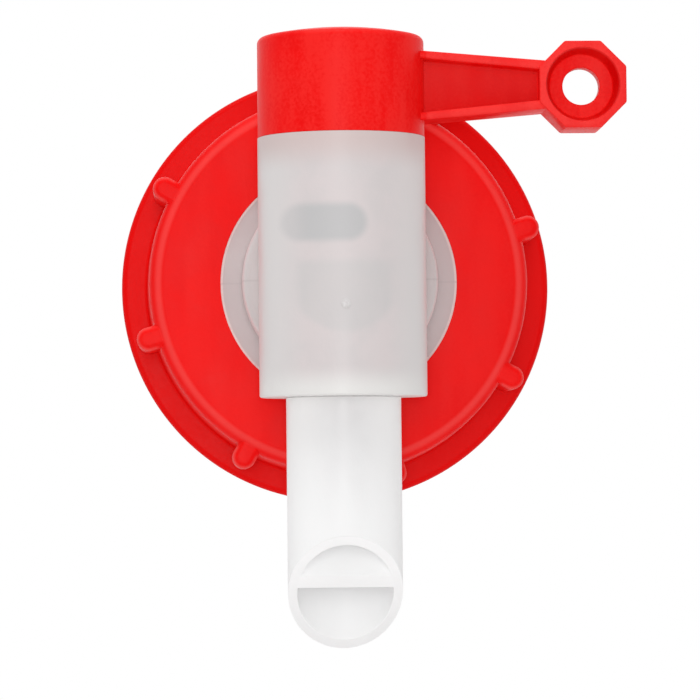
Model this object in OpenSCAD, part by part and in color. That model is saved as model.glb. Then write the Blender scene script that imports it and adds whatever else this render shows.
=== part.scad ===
// Jug spigot: a screw cap that turns freely on a tap with a quarter-turn lever and an air-vented spout.
// The origin is the outer end of the cap's thread, on its axis. The cap lies on the Y axis towards -Y,
// and the tap's barrel stands upright in front of it with the lever pointing to +X when shut.

/* [Screw cap] */
// Bore of the cap between its thread ridges
thread_bore_d = 58.2; // [50:0.2:72]
// Height of a thread ridge above the bore
thread_depth = 1.4; // [0.8:0.1:2]
// Advance of the thread in one turn
thread_pitch = 4; // [3:0.25:4.5]
// Ridge width where it stands on the bore
thread_base_w = 2; // [1.4:0.1:2.4]
// Ridge width at its crest
thread_crest_w = 0.8; // [0.4:0.1:1.2]
// Plain lead-in from the cap's rear rim to the thread
mouth_lead = 1.4; // [1.2:0.1:3]
// Length of the cap along its axis
cap_h = 18; // [17:0.5:24]
// Wall of the cap's skirt
cap_wall = 2.2; // [1.6:0.1:3]
// Thickness of the cap's front plate
cap_plate_t = 2.55; // [2.2:0.05:3.2]
// Rounding of the cap's front edge
cap_edge_r = 2.5; // [1:0.1:2.5]
// Widening of the skirt from front to rear
skirt_draft = 0.6; // [0.2:0.1:1.2]
// Reach of the rear flange beyond the skirt
cap_flange_w = 4.25; // [3:0.25:7]
// Thickness of the rear flange
cap_flange_t = 2.2; // [1.6:0.1:3]
// Number of grip lugs
lug_count = 8; // [4:1:12]
// Width of a grip lug
lug_w = 3.9; // [2.6:0.1:5]
// Reach of a grip lug beyond the skirt
lug_reach = 3.4; // [1.5:0.1:4]
// Bevel round the front of a lug
lug_edge = 0.6; // [0.3:0.1:1]
// Depth of a lug's end behind the cap's front edge
lug_set_back = 0.6; // [0.05:0.05:1]
// Turn of the first lug from the lever's side
lug_turn = 16; // [0:1:45]

/* [Swivel] */
// Diameter of the hub that the cap turns on
hub_d = 38.4; // [36:0.2:44]
// Radial clearance of the cap on the hub
swivel_gap = 0.35; // [0.3:0.05:0.6]
// Axial clearance between the cap's plate and the retaining ring
swivel_play = 0.3; // [0.2:0.05:0.6]
// Depth of the hub's face behind the cap's front edge
hub_set_back = 0.4; // [0.3:0.1:1.2]
// Thickness of the retaining ring
ring_t = 2.2; // [1.8:0.1:3]
// Step from the hub down to the seat of the retaining ring
ring_step = 0.8; // [0.6:0.1:1.4]
// Height of the bead that holds the retaining ring
ring_bead = 0.35; // [0.2:0.05:0.5]
// Clearance of the retaining ring inside the thread's crests
ring_room = 0.7; // [0.5:0.1:1]
// Thickness of the sealing washer
gasket_t = 2; // [1.5:0.1:2.6]
// Clearance of the washer in the thread's bore
gasket_room = 0.5; // [0.3:0.1:1]
// Reach of the washer inwards over the hub's end
gasket_lap = 2; // [1.5:0.1:3]

/* [Barrel] */
// Outside diameter of the barrel
barrel_d = 27; // [26:0.2:31]
// Wall of the barrel
barrel_wall = 2.25; // [1.9:0.05:2.6]
// Height of the barrel's top rim above the hub's axis
barrel_rise = 22.45; // [22:0.05:30]
// Depth of the barrel's bottom below the hub's axis
barrel_fall = 19.3; // [18.4:0.1:26]
// Thickness of the barrel's bottom
floor_t = 2.6; // [2:0.1:4]
// Space between the cap's front edge and the back of the barrel
barrel_stand_off = 2; // [1:0.1:5]
// Diameter of the neck between hub and barrel
boss_d = 32; // [31:0.2:36]

/* [Passages] */
// Diameter of the round liquid passage
liquid_d = 18.8; // [16:0.2:19.4]
// Height of the flat that closes the liquid passage at its top
liquid_top = 3.2; // [2:0.1:4]
// Width of the liquid port in the barrel's wall
port_w = 12.4; // [8:0.2:12.8]
// Width of the air slot
air_w = 13.6; // [9:0.2:14]
// Height of the air slot
air_h = 6; // [4.5:0.1:6.4]
// Height of the air slot's middle above the hub's axis
air_rise = 9.3; // [8.6:0.1:9.6]
// Shift of the air slot away from the lever's side
air_shift = 3.1; // [2.4:0.1:3.4]
// Wall beside the air slot where it leaves the barrel
air_wall = 1.4; // [1:0.1:1.6]

/* [Spout] */
// Outside diameter of the spout
spout_d = 18.5; // [18:0.1:20]
// Wall of the spout
spout_wall = 1.5; // [1.3:0.1:1.8]
// Length of the spout below the barrel
spout_drop = 40.7; // [30:0.5:60]
// Slope of the cut across the spout's end
spout_cut = 45; // [30:1:55]
// Step from the spout down to the neck in the barrel's bottom
neck_step = 0.5; // [0.4:0.05:0.6]
// Thickness of the wall that parts the air channel from the liquid channel
septum_t = 1.95; // [1.4:0.05:2.4]
// Distance of that wall's middle in front of the spout's axis
septum_shift = 1.85; // [1:0.05:2.2]

/* [Plug] */
// Radial clearance of the plug in the barrel
plug_gap = 0.06; // [0.04:0.01:0.1]
// Wall of the plug
plug_wall = 3.4; // [3.1:0.1:3.6]
// Clearance between the plug and the parts below it
plug_end_gap = 0.2; // [0.1:0.05:0.4]
// Cord thickness of the sealing rings
o_ring_cord = 1.8; // [1.4:0.1:2]
// Clearance of a sealing ring in its groove and in the bore
o_ring_gap = 0.04; // [0.02:0.01:0.06]
// Side clearance of a sealing ring in its groove
o_ring_side_gap = 0.15; // [0.1:0.05:0.3]
// Width of the sealing land beside each groove
seal_land = 1.4; // [1:0.1:1.6]
// Height of the bead that keeps the plug in the barrel
plug_bead = 0.5; // [0.3:0.05:0.7]
// Height of the plug above that bead
plug_lead = 1.6; // [1.2:0.1:2]
// Rise of the liquid window's sill above the lowest point of the liquid passage
window_sill = 1; // [0.6:0.1:1.6]
// Headroom inside the plug above its air window
air_headroom = 0.6; // [0.4:0.1:0.8]
// Angle that the plug's air window starts past the middle of the back when open
air_window_start = -10; // [-12:1:0]
// Angle that the plug's air window spans
air_window_span = 70; // [40:1:72]
// Width of the spindle across its flats
spindle_flats = 8.6; // [7:0.1:9]
// Length of the spindle above the plug's deck
spindle_h = 16; // [14:0.5:17]
// Thickness of the plug's deck and of the ceiling over the liquid
deck_t = 2; // [1.6:0.1:2.4]

/* [Lever handle] */
// Gap between the handle's rim and the barrel's rim
seam_gap = 0.1; // [0.05:0.05:0.4]
// Amount that the knob is smaller than the barrel in radius
knob_inset = 0.05; // [0:0.05:0.4]
// Height of the knob
knob_h = 17.5; // [16:0.1:20]
// Wall of the knob
knob_wall = 2.2; // [1.8:0.1:2.4]
// Rounding of the knob's top edge
knob_edge_r = 0.9; // [0.6:0.1:1.6]
// Rise of the knob's crown
knob_crown = 1.3; // [0.3:0.1:1.8]
// Wall of the socket that takes the spindle
socket_wall = 1.5; // [1.2:0.1:1.8]
// Clearance of the spindle in its socket
spindle_gap = 0.05; // [0.02:0.01:0.1]
// Distance of the lever's eye from the barrel's axis
lever_reach = 38.8; // [32:0.2:60]
// Distance of the lever's middle below the knob's middle
lever_drop = 0.15; // [0:0.05:1]
// Thickness of the lever front to back
lever_t = 9; // [7:0.1:11]
// Height of the lever where it leaves the knob
lever_root_h = 11.4; // [9.6:0.1:12]
// Height of the lever where it meets the eye
lever_tip_h = 7.8; // [6.6:0.1:9]
// Thickness of the lever's upper and lower rails at the knob
lever_rail_t = 1.2; // [0.8:0.05:2]
// Thickness of the rails at the eye
lever_rail_tip_t = 1.5; // [1.2:0.05:2]
// Thickness of the lever's web
lever_web_t = 2.6; // [1.8:0.1:3.6]
// Size of the eight-sided eye across its flats
eye_flats = 14; // [13.6:0.1:20]
// Amount that the eye stands proud of the lever on each side
eye_proud = 0.4; // [0.2:0.1:1]
// Diameter of the round recess in the eye at its face
eye_recess_d = 12; // [9.8:0.1:12.4]
// Narrowing of the recess in radius from the face down to its floor
eye_recess_taper = 0.85; // [0.3:0.05:1]
// Thickness of the eye's web at its hole
eye_web_t = 3; // [2:0.1:4]
// Diameter of the hole in the eye
eye_hole_d = 6; // [4:0.1:7]

/* [Stop] */
// Angle that the lever turns from shut to open
lever_turn = 90; // [80:1:92]
// Angle that the stop lug spans
stop_span = 18; // [10:1:24]
// Angle left free at each end of the stop slot
stop_ease = 1; // [0.5:0.5:3]
// Depth of the stop slot below the barrel's rim
stop_depth = 2; // [1.4:0.1:2.6]
// Width of the stop slot in the barrel's wall
stop_w = 1.3; // [1:0.1:1.4]
// Clearance round the stop lug
stop_gap = 0.25; // [0.2:0.05:0.35]

/* [Hidden] */
$fn = 64;
// Overlap that joins shapes of one piece and carries cuts past a surface
joint = 0.4;
// Plate left behind the rounding of the cap's front edge
edge_rest = 0.05;
// Factor from the flat of an even polygon to its corner
hex_corner = 1 / cos(30);
oct_corner = tan(22.5);

// Cap
thread_bore_r = thread_bore_d / 2;
crest_r = thread_bore_r - thread_depth;
skirt_r = thread_bore_r + cap_wall;
rear_r = skirt_r + skirt_draft;
cap_flange_r = rear_r + cap_flange_w;
cap_rear = mouth_lead;
cap_front = cap_rear - cap_h;
plate_back = cap_front + cap_plate_t;
edge_r = min(cap_edge_r, cap_plate_t - edge_rest);
hub_r = hub_d / 2;
cap_hole_r = hub_r + swivel_gap;
mouth_ease = 0.6;
lug_r = lug_w / 2;
lug_axis_r = skirt_r + lug_reach - lug_r;
lug_root_r = thread_bore_r + joint;
lug_front = cap_front + lug_set_back;
lug_back = cap_rear - cap_flange_t / 2;

// Thread, broken into level ridges that climb round the bore
segments_per_turn = 8;
segment_step = 360 / segments_per_turn;
segment_gap = 5;
segment_span = segment_step - segment_gap;
segment_rise = thread_pitch / segments_per_turn;

// Swivel and washer
ring_front = plate_back + swivel_play;
ring_back = ring_front + ring_t;
ring_seat_r = hub_r - ring_step;
ring_fit = 0.05;
ring_r = crest_r - ring_room;
gasket_back = ring_back + gasket_t;
gasket_r = thread_bore_r - gasket_room;
gasket_hole_r = ring_seat_r - gasket_lap;
thread_flank = (thread_base_w - thread_crest_w) / 2;
last_ridge = thread_flank - thread_base_w;
thread_count = floor((last_ridge - gasket_back - thread_flank) / segment_rise) + 1;

// Barrel
barrel_r = barrel_d / 2;
bore_r = barrel_r - barrel_wall;
barrel_y = cap_front - barrel_stand_off - barrel_r;
hub_front = cap_front + hub_set_back;
floor_top = -barrel_fall + floor_t;
port_back = barrel_y + bore_r + barrel_wall / 2;
liquid_r = liquid_d / 2;
air_top = air_rise + air_h / 2;
air_bottom = air_rise - air_h / 2;
air_reach = air_shift + air_w / 2 + air_wall;
boss_front = barrel_y + sqrt(barrel_r * barrel_r - air_reach * air_reach);

// Spout
spout_r = spout_d / 2;
channel_r = spout_r - spout_wall;
neck_r = spout_r - neck_step;
neck_gap = 0.05;
spout_tip = -barrel_fall - spout_drop;
septum_front = -septum_shift - septum_t / 2;
septum_back = -septum_shift + septum_t / 2;

// Plug, drawn open and then turned shut
plug_r = bore_r - plug_gap;
plug_bore_r = plug_r - plug_wall;
plug_bottom = floor_top + plug_end_gap;
groove_w = o_ring_cord + 2 * o_ring_side_gap;
o_ring_r = bore_r - o_ring_gap - o_ring_cord / 2;
groove_r = o_ring_r - o_ring_cord / 2 - o_ring_gap;
lower_groove = (plug_bottom - liquid_r) / 2;
upper_groove = air_top + seal_land + groove_w / 2;
bead_rise = upper_groove + groove_w / 2 + seal_land;
bead_space = 0.1;
plug_top = bead_rise + plug_bead + plug_lead;
ceiling_top = (liquid_top + air_bottom + deck_t) / 2;
ceiling_bottom = ceiling_top - deck_t;
deck_bottom = air_top + air_headroom;
deck_top = deck_bottom + deck_t;

// Handle
knob_r = barrel_r - knob_inset;
knob_bottom = barrel_rise + seam_gap;
knob_top = knob_bottom + knob_h;
knob_shoulder = knob_top - knob_crown;
knob_inner_r = knob_r - knob_wall;
knob_ceiling = knob_shoulder - knob_wall;
crown_edge_r = knob_r - knob_edge_r;
crown_sphere_r = (crown_edge_r * crown_edge_r + knob_crown * knob_crown) / (2 * knob_crown);
socket_r = spindle_flats / 2 * hex_corner + socket_wall;
socket_bottom = plug_top + plug_end_gap;
lever_mid = (knob_bottom + knob_shoulder) / 2 - lever_drop;
lever_root_x = knob_inner_r + joint;
eye_half = eye_flats / 2;
eye_side = eye_half * oct_corner;
lever_tip_x = lever_reach - eye_half + max(0, lever_tip_h / 2 - eye_side);
eye_t = lever_t + 2 * eye_proud;
stop_outer_r = bore_r + stop_w;

module on_cap_axis() {
    rotate([-90, 0, 0]) children();
}

module at_barrel() {
    translate([0, barrel_y, 0]) children();
}

module ring_section(inner, outer, low, high) {
    translate([inner, low]) square([outer - inner, high - low]);
}

module tube(inner, outer, low, high) {
    rotate_extrude() ring_section(inner, outer, low, high);
}

module sector(inner, outer, low, high, start, span) {
    rotate([0, 0, start]) rotate_extrude(angle = span) ring_section(inner, outer, low, high);
}

module cap_shell() {
    corner_r = skirt_r - edge_r;
    corner_y = cap_front + edge_r;
    flange_round = cap_flange_t / 2;
    flange_front = cap_rear - cap_flange_t;
    rotate_extrude() {
        polygon([
            [cap_hole_r, cap_front],
            [corner_r, cap_front],
            [corner_r, corner_y],
            [skirt_r, corner_y],
            [rear_r, flange_front],
            [cap_flange_r - flange_round, flange_front],
            [cap_flange_r - flange_round, cap_rear],
            [thread_bore_r + mouth_ease, cap_rear],
            [thread_bore_r, cap_rear - mouth_ease],
            [thread_bore_r, plate_back],
            [cap_hole_r, plate_back]
        ]);
        intersection() {
            translate([corner_r, corner_y]) circle(r = edge_r);
            translate([corner_r, cap_front]) square(edge_r);
        }
        intersection() {
            translate([cap_flange_r - flange_round, cap_rear - flange_round]) circle(r = flange_round);
            translate([cap_flange_r - flange_round, flange_front]) square([flange_round, cap_flange_t]);
        }
    }
}

module cap_lug() {
    bevel_r = lug_r - lug_edge;
    bevel_back = lug_front + lug_edge;
    translate([lug_axis_r, 0, 0]) rotate_extrude() polygon([
        [0, lug_front],
        [bevel_r, lug_front],
        [lug_r, bevel_back],
        [lug_r, lug_back],
        [0, lug_back]
    ]);
    translate([lug_root_r, 0, 0]) rotate([90, 0, 90]) linear_extrude(height = lug_axis_r - lug_root_r) polygon([
        [-lug_r, lug_back],
        [-lug_r, bevel_back],
        [-bevel_r, lug_front],
        [bevel_r, lug_front],
        [lug_r, bevel_back],
        [lug_r, lug_back]
    ]);
}

module thread_ridge() {
    rotate_extrude(angle = segment_span) polygon([
        [thread_bore_r + joint, 0],
        [thread_bore_r, 0],
        [crest_r, thread_flank],
        [crest_r, thread_flank + thread_crest_w],
        [thread_bore_r, thread_base_w],
        [thread_bore_r + joint, thread_base_w]
    ]);
}

module screw_cap() {
    color("red") on_cap_axis() {
        cap_shell();
        for (i = [0 : lug_count - 1]) {
            rotate([0, 0, -lug_turn - i * 360 / lug_count]) cap_lug();
        }
        for (i = [0 : thread_count - 1]) {
            translate([0, 0, last_ridge - i * segment_rise]) rotate([0, 0, -i * segment_step]) thread_ridge();
        }
    }
}

module cap_gasket() {
    color("dimgray") on_cap_axis() tube(gasket_hole_r, gasket_r, ring_back, gasket_back);
}

module swivel_ring() {
    color("white") on_cap_axis() difference() {
        tube(ring_seat_r + ring_fit, ring_r, ring_front, ring_back);
        rotate_extrude() translate([ring_seat_r, (ring_front + ring_back) / 2])
            circle(r = ring_bead + ring_fit);
    }
}

module hub() {
    on_cap_axis() {
        translate([0, 0, boss_front]) cylinder(d = boss_d, h = hub_front + joint - boss_front);
        translate([0, 0, hub_front]) cylinder(r = hub_r, h = ring_front - hub_front);
        translate([0, 0, ring_front - joint]) cylinder(r = ring_seat_r, h = ring_t + joint);
        rotate_extrude() translate([ring_seat_r, (ring_front + ring_back) / 2]) circle(r = ring_bead);
    }
}

module liquid_passage() {
    passage_l = ring_back + joint - port_back;
    intersection() {
        translate([0, port_back, 0]) on_cap_axis() cylinder(r = liquid_r, h = passage_l);
        translate([-liquid_r, port_back, -liquid_r]) cube([liquid_d, passage_l, liquid_r + liquid_top]);
    }
    intersection() {
        translate([0, barrel_y, 0]) on_cap_axis() cylinder(r = liquid_r, h = port_back + joint - barrel_y);
        translate([-port_w / 2, barrel_y, -liquid_r])
            cube([port_w, port_back + joint - barrel_y, liquid_r + liquid_top]);
    }
}

module air_passage() {
    passage_l = ring_back + joint - barrel_y;
    half_run = (air_w - air_h) / 2;
    translate([-air_shift, barrel_y, air_rise]) {
        for (side = [-1, 1]) {
            translate([side * half_run, 0, 0]) on_cap_axis() cylinder(d = air_h, h = passage_l);
        }
        translate([-half_run, 0, -air_h / 2]) cube([2 * half_run, passage_l, air_h]);
    }
}

module tap_body() {
    color("gainsboro") difference() {
        union() {
            at_barrel() translate([0, 0, -barrel_fall]) cylinder(r = barrel_r, h = barrel_fall + barrel_rise);
            hub();
        }
        at_barrel() {
            translate([0, 0, floor_top]) cylinder(r = bore_r, h = barrel_rise + joint - floor_top);
            translate([0, 0, -barrel_fall - joint]) cylinder(r = neck_r + neck_gap, h = floor_t + 2 * joint);
            rotate_extrude() translate([plug_r, bead_rise]) circle(r = plug_bead + bead_space);
            sector(bore_r - joint, stop_outer_r, barrel_rise - stop_depth, barrel_rise + joint,
                90 - lever_turn - stop_span / 2 - stop_ease, lever_turn + stop_span + 2 * stop_ease);
        }
        liquid_passage();
        air_passage();
    }
}

module channels(bore, low, air_high, liquid_high) {
    translate([0, 0, low]) {
        intersection() {
            cylinder(r = bore, h = air_high - low);
            translate([-bore, -bore, 0]) cube([2 * bore, bore + septum_front, air_high - low]);
        }
        intersection() {
            cylinder(r = bore, h = liquid_high - low);
            translate([-bore, septum_back, 0]) cube([2 * bore, bore - septum_back, liquid_high - low]);
        }
    }
}

module spout() {
    cut_l = 4 * spout_d;
    color("white") at_barrel() difference() {
        union() {
            translate([0, 0, spout_tip]) cylinder(r = spout_r, h = spout_drop);
            translate([0, 0, -barrel_fall - joint]) cylinder(r = neck_r, h = floor_t + joint);
        }
        channels(channel_r, spout_tip - joint, floor_top + joint, floor_top + joint);
        translate([0, spout_r, spout_tip]) rotate([-spout_cut, 0, 0])
            translate([-cut_l / 2, -cut_l, -cut_l]) cube(cut_l);
    }
}

module plug_open() {
    difference() {
        union() {
            translate([0, 0, plug_bottom]) cylinder(r = plug_r, h = plug_top - plug_bottom);
            rotate_extrude() translate([plug_r, bead_rise]) circle(r = plug_bead);
        }
        channels(plug_bore_r, plug_bottom - joint, deck_bottom, ceiling_bottom);
        translate([0, 0, ceiling_top]) cylinder(r = plug_bore_r, h = deck_bottom - ceiling_top);
        translate([0, 0, deck_top]) cylinder(r = plug_bore_r, h = plug_top + joint - deck_top);
        tube(groove_r, plug_r + joint, lower_groove - groove_w / 2, lower_groove + groove_w / 2);
        tube(groove_r, plug_r + joint, upper_groove - groove_w / 2, upper_groove + groove_w / 2);
        translate([-port_w / 2, septum_back, window_sill - liquid_r])
            cube([port_w, bore_r, liquid_r - window_sill + ceiling_bottom]);
        sector(plug_bore_r - joint, plug_r + joint, air_bottom, air_top,
            90 + air_window_start, air_window_span);
    }
    translate([0, 0, deck_top - joint])
        cylinder(r = spindle_flats / 2 * hex_corner, h = spindle_h + joint, $fn = 6);
}

module valve_plug() {
    color("whitesmoke") at_barrel() rotate([0, 0, lever_turn]) plug_open();
}

module o_ring(height) {
    color("seashell") at_barrel() rotate_extrude() translate([o_ring_r, height]) circle(d = o_ring_cord);
}

module upper_o_ring() {
    o_ring(upper_groove);
}

module lower_o_ring() {
    o_ring(lower_groove);
}

module knob() {
    rotate_extrude() {
        ring_section(knob_inner_r, knob_r, knob_bottom, knob_shoulder - knob_edge_r);
        ring_section(0, crown_edge_r, knob_ceiling, knob_shoulder);
        ring_section(knob_inner_r, crown_edge_r, knob_shoulder - knob_edge_r - joint, knob_shoulder);
        intersection() {
            translate([crown_edge_r, knob_shoulder - knob_edge_r]) circle(r = knob_edge_r);
            translate([crown_edge_r, knob_shoulder - knob_edge_r]) square(knob_edge_r);
        }
        intersection() {
            translate([0, knob_top - crown_sphere_r]) circle(r = crown_sphere_r, $fn = 256);
            ring_section(0, crown_edge_r, knob_shoulder - joint, knob_top + joint);
        }
    }
}

module spindle_socket() {
    socket_l = knob_ceiling + joint - socket_bottom;
    difference() {
        translate([0, 0, socket_bottom]) cylinder(r = socket_r, h = socket_l);
        translate([0, 0, socket_bottom - joint]) rotate([0, 0, lever_turn])
            cylinder(r = (spindle_flats / 2 + spindle_gap) * hex_corner, h = socket_l, $fn = 6);
    }
}

module lever_outline(root_inset, tip_inset) {
    polygon([
        [lever_root_x, -lever_root_h / 2 + root_inset],
        [lever_tip_x + joint, -lever_tip_h / 2 + tip_inset],
        [lever_tip_x + joint, lever_tip_h / 2 - tip_inset],
        [lever_root_x, lever_root_h / 2 - root_inset]
    ]);
}

module eye_outline() {
    polygon([
        [-eye_half, -eye_side],
        [-eye_side, -eye_half],
        [eye_side, -eye_half],
        [eye_half, -eye_side],
        [eye_half, eye_side],
        [eye_side, eye_half],
        [-eye_side, eye_half],
        [-eye_half, eye_side]
    ]);
}

module across(depth) {
    rotate([90, 0, 0]) translate([0, 0, -depth / 2]) linear_extrude(height = depth) children();
}

module lever_beam() {
    pocket_t = (lever_t - lever_web_t) / 2;
    difference() {
        across(lever_t) lever_outline(0, 0);
        for (side = [-1, 1]) {
            translate([0, side * (lever_web_t + pocket_t + joint) / 2, 0])
                across(pocket_t + joint) lever_outline(lever_rail_t, lever_rail_tip_t);
        }
        cylinder(r = knob_inner_r + joint, h = lever_root_h + joint, center = true);
    }
}

module eye_hollow() {
    recess_r = eye_recess_d / 2;
    recess_l = (eye_t - eye_web_t) / 2;
    slope = eye_recess_taper / recess_l;
    for (side = [-90, 90]) {
        rotate([side, 0, 0]) translate([0, 0, eye_web_t / 2])
            cylinder(r1 = recess_r - eye_recess_taper, r2 = recess_r + slope * joint, h = recess_l + joint);
    }
    across(eye_t) circle(d = eye_hole_d);
}

module lever() {
    difference() {
        union() {
            lever_beam();
            translate([lever_reach, 0, 0]) across(eye_t) eye_outline();
        }
        translate([lever_reach, 0, 0]) eye_hollow();
    }
}

module stop_lug() {
    sector(knob_inner_r, stop_outer_r - stop_gap, barrel_rise - stop_depth + stop_gap, knob_bottom + joint,
        90 - stop_span / 2, stop_span);
}

module lever_handle() {
    color("red") at_barrel() {
        knob();
        spindle_socket();
        stop_lug();
        translate([0, 0, lever_mid]) lever();
    }
}

screw_cap();
cap_gasket();
swivel_ring();
tap_body();
spout();
valve_plug();
upper_o_ring();
lower_o_ring();
lever_handle();
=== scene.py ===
"""Jug spigot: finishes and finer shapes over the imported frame. Shapes are drawn in millimetres."""

import math

import bmesh
import bpy
from mathutils import Matrix, Vector


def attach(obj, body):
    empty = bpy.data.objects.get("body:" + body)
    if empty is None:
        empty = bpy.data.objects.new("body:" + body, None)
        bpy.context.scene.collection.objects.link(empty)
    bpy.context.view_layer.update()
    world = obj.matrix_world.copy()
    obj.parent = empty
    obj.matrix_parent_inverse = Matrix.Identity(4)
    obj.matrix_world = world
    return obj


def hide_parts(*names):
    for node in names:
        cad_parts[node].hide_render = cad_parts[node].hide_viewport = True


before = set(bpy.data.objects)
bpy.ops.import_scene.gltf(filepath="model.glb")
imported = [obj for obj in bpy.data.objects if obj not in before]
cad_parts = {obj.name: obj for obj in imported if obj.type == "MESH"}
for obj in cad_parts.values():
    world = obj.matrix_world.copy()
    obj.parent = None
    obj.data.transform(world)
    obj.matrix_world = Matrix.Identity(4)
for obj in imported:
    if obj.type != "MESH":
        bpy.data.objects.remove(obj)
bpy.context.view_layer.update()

MM = 0.001
MERGE_GAP = 1e-4

# Screw cap: radii, and places along its axis
CAP_HOLE_R, SKIRT_R, REAR_R, FLANGE_R = 19.55, 31.3, 31.9, 36.15
CAP_FRONT, PLATE_BACK, FLANGE_FRONT, CAP_REAR = -16.6, -14.05, -0.8, 1.4
THREAD_R, CREST_R, THREAD_PITCH, THREAD_TURNS, THREAD_START = 29.1, 27.7, 4.0, 1.8, -8.5
LUG_COUNT, LUG_TURN, LUG_R, LUG_AXIS_R, LUG_FRONT, LUG_EDGE = 8, 16.0, 1.95, 32.75, -16.0, 1.1

# Tap body: hub and barrel
HUB_R, HUB_FRONT, RING_SEAT_R, RING_FRONT, HUB_REAR = 19.54, -16.2, 18.4, -13.75, -11.55
BOSS_R, BOSS_FRONT = 16.0, -24.71
BARREL_Y, BARREL_R, BORE_R = -32.1, 13.5, 11.25
BARREL_TOP, BARREL_BOTTOM, FLOOR_TOP = 22.45, -19.3, -16.7
LIQUID_R, LIQUID_TOP, PORT_W, PORT_BACK = 9.4, 3.2, 12.4, -19.73
AIR_W, AIR_H, AIR_X, AIR_Z = 13.6, 6.0, -3.1, 9.3
GROOVE_Z, GROOVE_DEPTH, MARK_Z = 17.3, 0.5, -4.9

# Spout
SPOUT_R, CHANNEL_R, NECK_R, SPOUT_TIP = 9.25, 7.75, 8.75, -60.0
SEPTUM_FRONT, SEPTUM_BACK = -2.825, -0.875

# Lever handle
KNOB_R, KNOB_INNER_R, CROWN_R = 13.45, 11.25, 61.2
KNOB_BOTTOM, KNOB_CEILING, KNOB_TOP = 22.55, 36.55, 40.05
LEVER_Z, LEVER_HALF_T, WEB_HALF_T = 30.5, 4.5, 1.3
LEVER_ROOT_X, LEVER_TIP_X = 11.65, 33.2
ROOT_HALF, ROOT_RAIL, TIP_HALF, TIP_RAIL, WEB_TAPER = 5.7, 1.2, 3.87, 1.5, 0.0975
EYE_X, EYE_HALF, EYE_HALF_T = 38.8, 7.0, 4.9
SOCKET_FLAT, SOCKET_R, SOCKET_LOW, SOCKET_TOP, SOCKET_DEEP = 4.35, 6.46, 19.5, 37.0, 36.6

# Stop of the lever's turn: a lug under the knob, in a slot of the barrel's rim; degrees from the lever
STOP_LUG_R, STOP_LUG_LOW, STOP_LUG_START, STOP_LUG_SPAN = 12.3, 20.7, 81, 18
STOP_SLOT_R, STOP_SLOT_LOW, STOP_SLOT_START, STOP_SLOT_SPAN = 12.55, 20.45, -10, 110

TO_CAP_AXIS = Matrix.Rotation(math.radians(-90), 4, "X")
TO_BARREL = Matrix.Translation((0, BARREL_Y, 0))


# Shapes

def add(tree, kind, **inputs):
    """A node of that kind in the tree, with each named input linked to a socket or set to a value."""
    node = tree.nodes.new(kind)
    for name, value in inputs.items():
        socket = node.inputs[name.replace("_", " ")]
        if isinstance(value, bpy.types.NodeSocket):
            tree.links.new(value, socket)
        else:
            socket.default_value = value
    return node


def new_tree(name, **sizes):
    """A Geometry Nodes tree that takes a shape, these named sizes and a finish; returns it and its inputs."""
    tree = bpy.data.node_groups.new(name, "GeometryNodeTree")
    kinds = {"Shape": "NodeSocketGeometry", **sizes, "Finish": "NodeSocketMaterial"}
    for size, kind in kinds.items():
        tree.interface.new_socket(size.replace("_", " "), in_out="INPUT", socket_type=kind)
    tree.interface.new_socket("Piece", in_out="OUTPUT", socket_type="NodeSocketGeometry")
    return tree, tree.nodes.new("NodeGroupInput").outputs


def end_tree(tree, shape, finish):
    """Closes a tree: instances made real, and the finish set."""
    real = add(tree, "GeometryNodeRealizeInstances", Geometry=shape)
    dressed = add(tree, "GeometryNodeSetMaterial", Geometry=real.outputs[0], Material=finish)
    tree.links.new(dressed.outputs[0], tree.nodes.new("NodeGroupOutput").inputs[0])
    return tree


def plain_mesh(obj):
    """The mesh of an object after its modifiers; the object itself goes."""
    mesh = bpy.data.meshes.new_from_object(obj.evaluated_get(bpy.context.evaluated_depsgraph_get()))
    bpy.data.objects.remove(obj)
    return mesh


def temporary(mesh):
    obj = bpy.data.objects.new("temporary", mesh)
    bpy.context.scene.collection.objects.link(obj)
    return obj


def grown(tree, shape, **sizes):
    """What a tree makes of a shape at these sizes, as a plain mesh."""
    obj = temporary(shape)
    modifier = obj.modifiers.new("tree", "NODES")
    modifier.node_group = tree
    for item in tree.interface.items_tree:
        if item.in_out == "INPUT" and item.name.replace(" ", "_") in sizes:
            modifier[item.identifier] = sizes[item.name.replace(" ", "_")]
    return tidied(plain_mesh(obj))


def tidied(mesh):
    """The mesh with its doubles merged and its faces turned outwards."""
    work = bmesh.new()
    work.from_mesh(mesh)
    bmesh.ops.remove_doubles(work, verts=work.verts, dist=MERGE_GAP)
    bmesh.ops.recalc_face_normals(work, faces=work.faces)
    work.to_mesh(mesh)
    work.free()
    return mesh


def turning_tree():
    """Carries an outline round the Z axis: its X is the distance from the path, its Y runs down."""
    tree, given = new_tree("turned_outline", Path_Radius="NodeSocketFloat", Steps="NodeSocketInt")
    outline = add(tree, "GeometryNodeMeshToCurve", Mesh=given["Shape"])
    circle = add(tree, "GeometryNodeCurvePrimitiveCircle", Radius=given["Path Radius"],
                 Resolution=given["Steps"])
    path = add(tree, "GeometryNodeSetCurveNormal", Curve=circle.outputs["Curve"])
    path.mode = "Z_UP"
    skin = add(tree, "GeometryNodeCurveToMesh", Curve=path.outputs[0], Profile_Curve=outline.outputs[0])
    closed = add(tree, "GeometryNodeMergeByDistance", Geometry=skin.outputs[0], Distance=MERGE_GAP)
    return end_tree(tree, closed.outputs[0], given["Finish"])


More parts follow.
